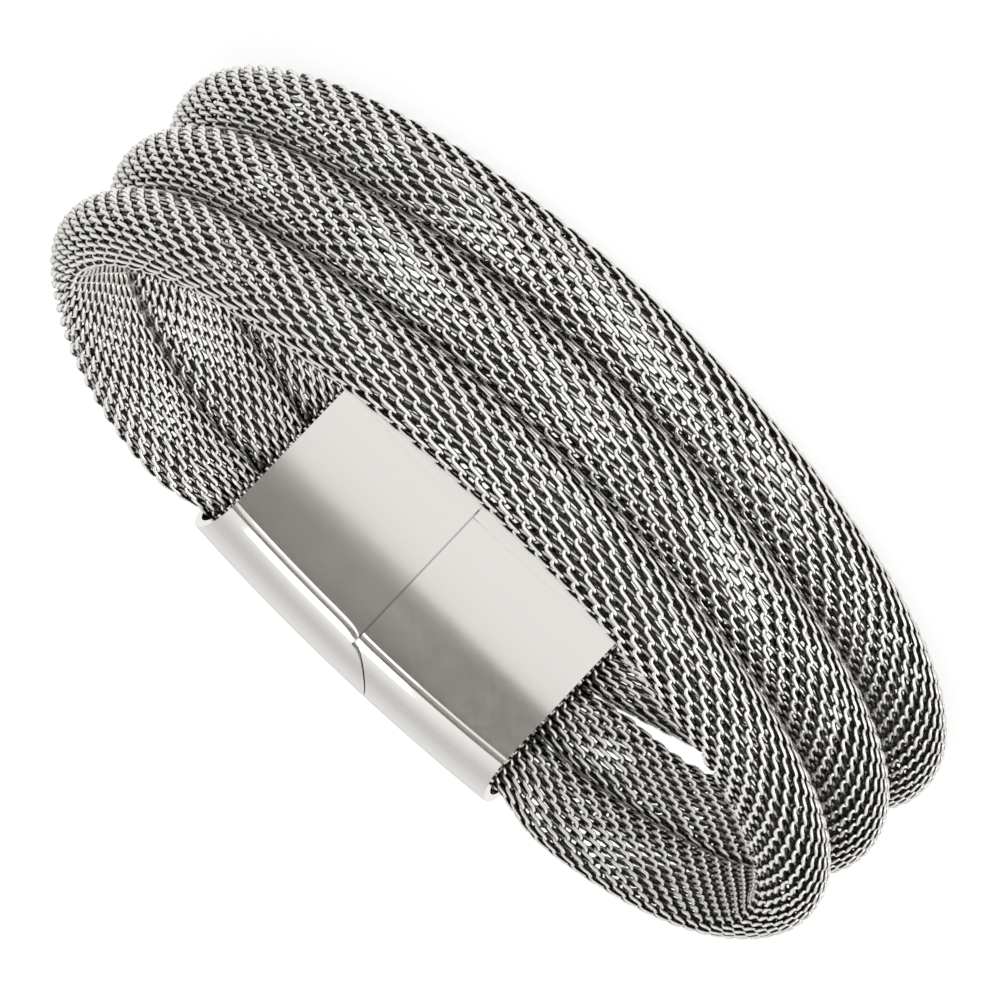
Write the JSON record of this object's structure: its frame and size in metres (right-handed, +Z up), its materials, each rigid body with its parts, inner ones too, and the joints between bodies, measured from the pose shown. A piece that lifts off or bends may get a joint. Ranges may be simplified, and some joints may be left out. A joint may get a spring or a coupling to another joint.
{
  "type": "mesh bracelet",
  "caption": "Oval bracelet of three hollow knitted-wire strands side by side, joined by a wide curved clasp in two halves that meet at a round-nosed seam.",
  "frame": {"origin": "bottom centre of the bounding box, under the middle of the loop, with the bracelet lying on its side", "axes": "+Z up along the loop's axis, +Y towards the clasp, +X along the loop's longest way, towards the clasp half that carries the round nose"},
  "size_m": [0.0688, 0.0642, 0.0181],
  "materials": {
    "mesh": "knitted from bright round stainless-steel wire",
    "clasp": "mirror polished stainless steel"
  },
  "bodies": {
    "root": {"strand_top": "mesh", "strand_middle": "mesh", "strand_bottom": "mesh", "clasp_left": "clasp", "clasp_right": "clasp"}
  },
  "joints": []
}
